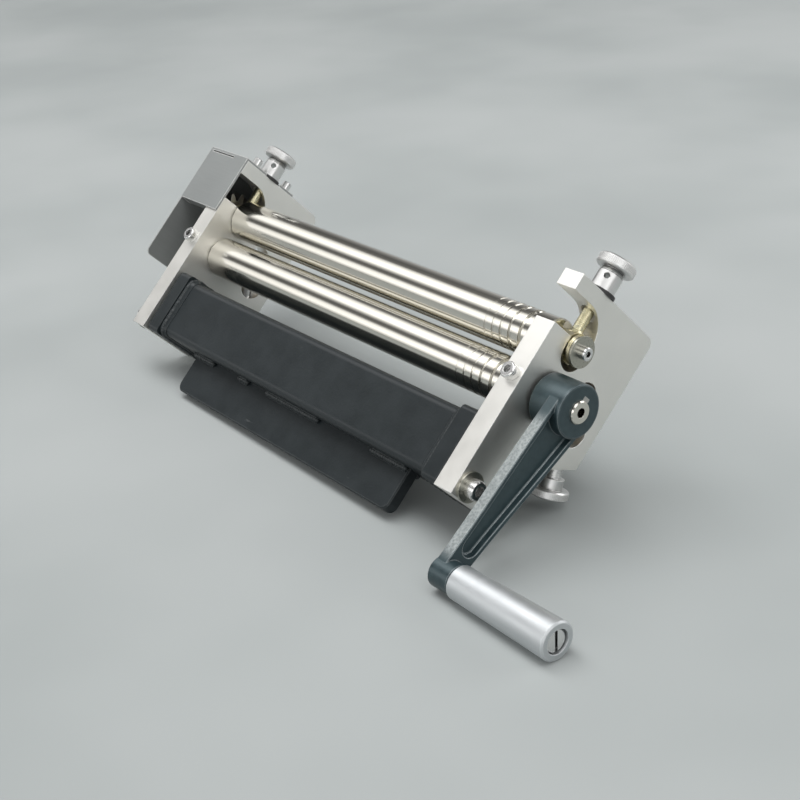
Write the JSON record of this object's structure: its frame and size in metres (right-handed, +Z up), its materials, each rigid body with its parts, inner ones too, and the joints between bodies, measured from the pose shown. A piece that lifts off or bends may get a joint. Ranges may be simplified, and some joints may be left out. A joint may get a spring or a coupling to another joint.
{
  "type": "slip roll machine",
  "caption": "Bench slip roll for sheet and wire: geared pinch rollers turned by a hand crank, an adjustable rear bending roller and a plate to clamp it in a vise.",
  "frame": {"origin": "the middle of the beam's underside, where the machine sits on the vise jaws: mid-way between the side plates, in the plane of the pinch rollers and of the vise plate", "axes": "+X runs along the rollers to the crank end, +Y from the feeding side to the rear roller, +Z up with the side plates upright"},
  "size_m": [0.4388, 0.083, 0.1869],
  "materials": {
    "plate_metal": "bead-blasted",
    "black_paint": "satin",
    "weld": "satin",
    "roller_steel": "ground",
    "gear_steel": "machined",
    "bright_screw": "bright",
    "bolt_washer": "plated",
    "bush_bronze": "turned",
    "black_washer": "black oxide",
    "yellow_zinc": "yellow zinc plate",
    "knob_metal": "matt plate",
    "cover_sheet": "satin grey",
    "crank_enamel": "hammered enamel",
    "grip_metal": "satin",
    "key_steel": "drawn"
  },
  "bodies": {
    "frame": {"side_plate_left": "plate_metal", "side_plate_right": "plate_metal", "base_tube": "black_paint", "end_flange_left": "black_paint", "end_flange_right": "black_paint", "vise_plate": "black_paint", "weld_beads": "weld", "base_bolts": "bright_screw", "base_washers": "bolt_washer", "bush_lock_screws": "bright_screw", "lower_bush_left": "bush_bronze", "lower_bush_right": "bush_bronze", "knob_washers": "black_washer", "gear_cover": "cover_sheet", "cover_screws": "bright_screw"},
    "drive": {"lower_roller": "roller_steel", "lower_gear": "gear_steel", "lower_gear_key": "key_steel", "lower_gear_washer": "bolt_washer", "lower_gear_screw": "bright_screw", "crank_arm": "crank_enamel", "crank_key": "key_steel", "grip_pin": "bright_screw"},
    "grip": {"crank_grip": "grip_metal"},
    "pinch_lift": {"eye_bolt_left": "yellow_zinc", "eye_bolt_right": "yellow_zinc"},
    "upper_set": {"upper_roller": "roller_steel", "upper_gear": "gear_steel", "upper_gear_key": "key_steel", "upper_gear_washer": "bolt_washer", "upper_gear_screw": "bright_screw", "upper_end_washers": "yellow_zinc", "upper_end_spacer": "key_steel", "upper_outer_washer": "bolt_washer", "upper_end_screw": "bright_screw"},
    "knob_left": {"pinch_knob_left": "knob_metal"},
    "knob_right": {"pinch_knob_right": "knob_metal"},
    "rear_lift": {"rear_block_left": "bush_bronze", "rear_block_right": "bush_bronze"},
    "rear_set": {"rear_roller": "roller_steel"},
    "rear_screw_left": {"rear_knob_left": "knob_metal"},
    "rear_screw_right": {"rear_knob_right": "knob_metal"}
  },
  "joints": [
    {"name": "crank_turn", "type": "hinge", "parent": "frame", "child": "drive", "pos_m": [0, 0, 0.0627], "axis": [-1, 0, 0], "continuous": true},
    {"name": "grip_spin", "type": "hinge", "parent": "drive", "child": "grip", "pos_m": [0, -0.01495, -0.03618], "axis": [-1, 0, 0], "continuous": true},
    {"name": "pinch_knob_right_turn", "type": "hinge", "parent": "frame", "child": "knob_right", "pos_m": [0.1515, 0, 0.1215], "axis": [0, 0, -1], "range_deg": [-872, 2172]},
    {"name": "pinch_knob_left_turn", "type": "hinge", "parent": "frame", "child": "knob_left", "pos_m": [-0.1515, 0, 0.1215], "axis": [0, 0, -1], "range_deg": [-872, 2172]},
    {"name": "pinch_lift", "type": "slide", "parent": "frame", "child": "pinch_lift", "axis": [0, 0, 1], "range_m": [-0.0024, 0.006]},
    {"name": "upper_spin", "type": "hinge", "parent": "pinch_lift", "child": "upper_set", "pos_m": [0, 0, 0.0907], "axis": [-1, 0, 0], "continuous": true},
    {"name": "rear_lift", "type": "slide", "parent": "frame", "child": "rear_lift", "axis": [0, -0.4067, 0.9135], "range_m": [-0.0075, 0.004]},
    {"name": "rear_knob_right_turn", "type": "hinge", "parent": "rear_lift", "child": "rear_screw_right", "pos_m": [0.1515, 0.026, 0.0689], "axis": [0, -0.4067, 0.9135], "range_deg": [-2172, 1164]},
    {"name": "rear_knob_left_turn", "type": "hinge", "parent": "rear_lift", "child": "rear_screw_left", "pos_m": [-0.1515, 0.026, 0.0689], "axis": [0, -0.4067, 0.9135], "range_deg": [-2172, 1164]},
    {"name": "rear_spin", "type": "hinge", "parent": "rear_lift", "child": "rear_set", "pos_m": [0, 0.026, 0.0689], "axis": [-1, 0, 0], "continuous": true}
  ],
  "couplings": [
    {"joint": "upper_spin", "follows": "crank_turn", "ratio": -1},
    {"joint": "pinch_knob_right_turn", "follows": "pinch_lift", "rad_per_m": 6283.2},
    {"joint": "pinch_knob_left_turn", "follows": "pinch_lift", "rad_per_m": 6283.2},
    {"joint": "rear_knob_right_turn", "follows": "rear_lift", "rad_per_m": 5026.5},
    {"joint": "rear_knob_left_turn", "follows": "rear_lift", "rad_per_m": 5026.5}
  ]
}
